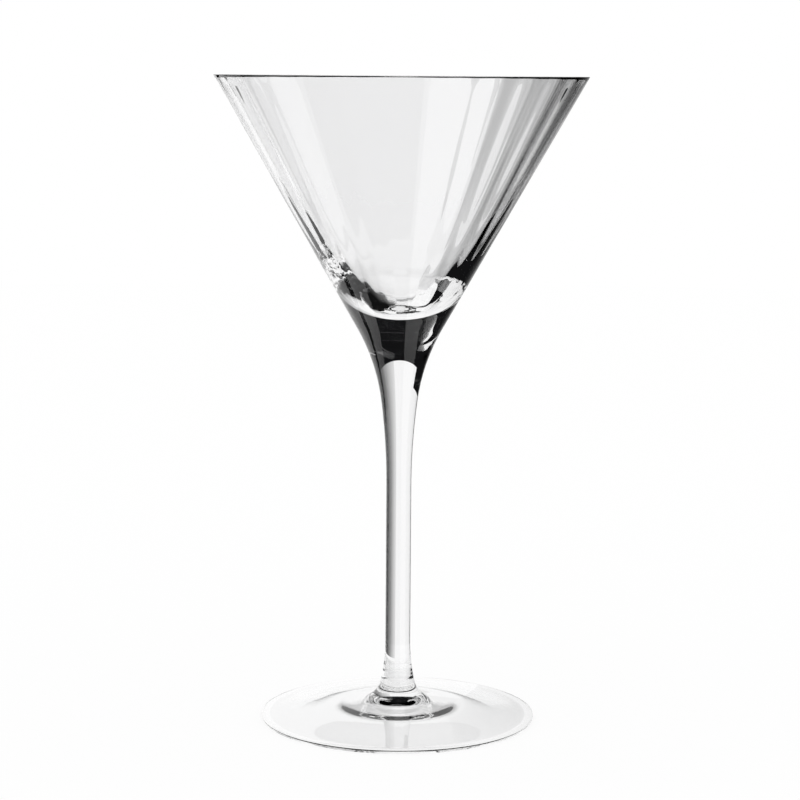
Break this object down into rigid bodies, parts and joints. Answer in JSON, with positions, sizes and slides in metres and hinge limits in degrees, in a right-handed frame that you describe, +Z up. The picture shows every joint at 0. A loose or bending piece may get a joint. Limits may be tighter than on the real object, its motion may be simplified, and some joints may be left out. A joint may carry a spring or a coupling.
{
  "type": "martini glass",
  "caption": "Stemmed cocktail glass: conical bowl with optic ribs inside, solid flared stem and a trumpet foot.",
  "frame": {"origin": "on the glass's axis, at the level that the foot stands on", "axes": "+Z up along the axis, from the foot to the rim; the glass is the same all round, so +X and +Y only fix where the ribs start"},
  "size_m": [0.1126, 0.1126, 0.197],
  "materials": {
    "clear_glass": "clear, smooth, fire-polished glass"
  },
  "bodies": {
    "root": {"bowl": "clear_glass", "stem": "clear_glass", "foot": "clear_glass"}
  },
  "joints": []
}
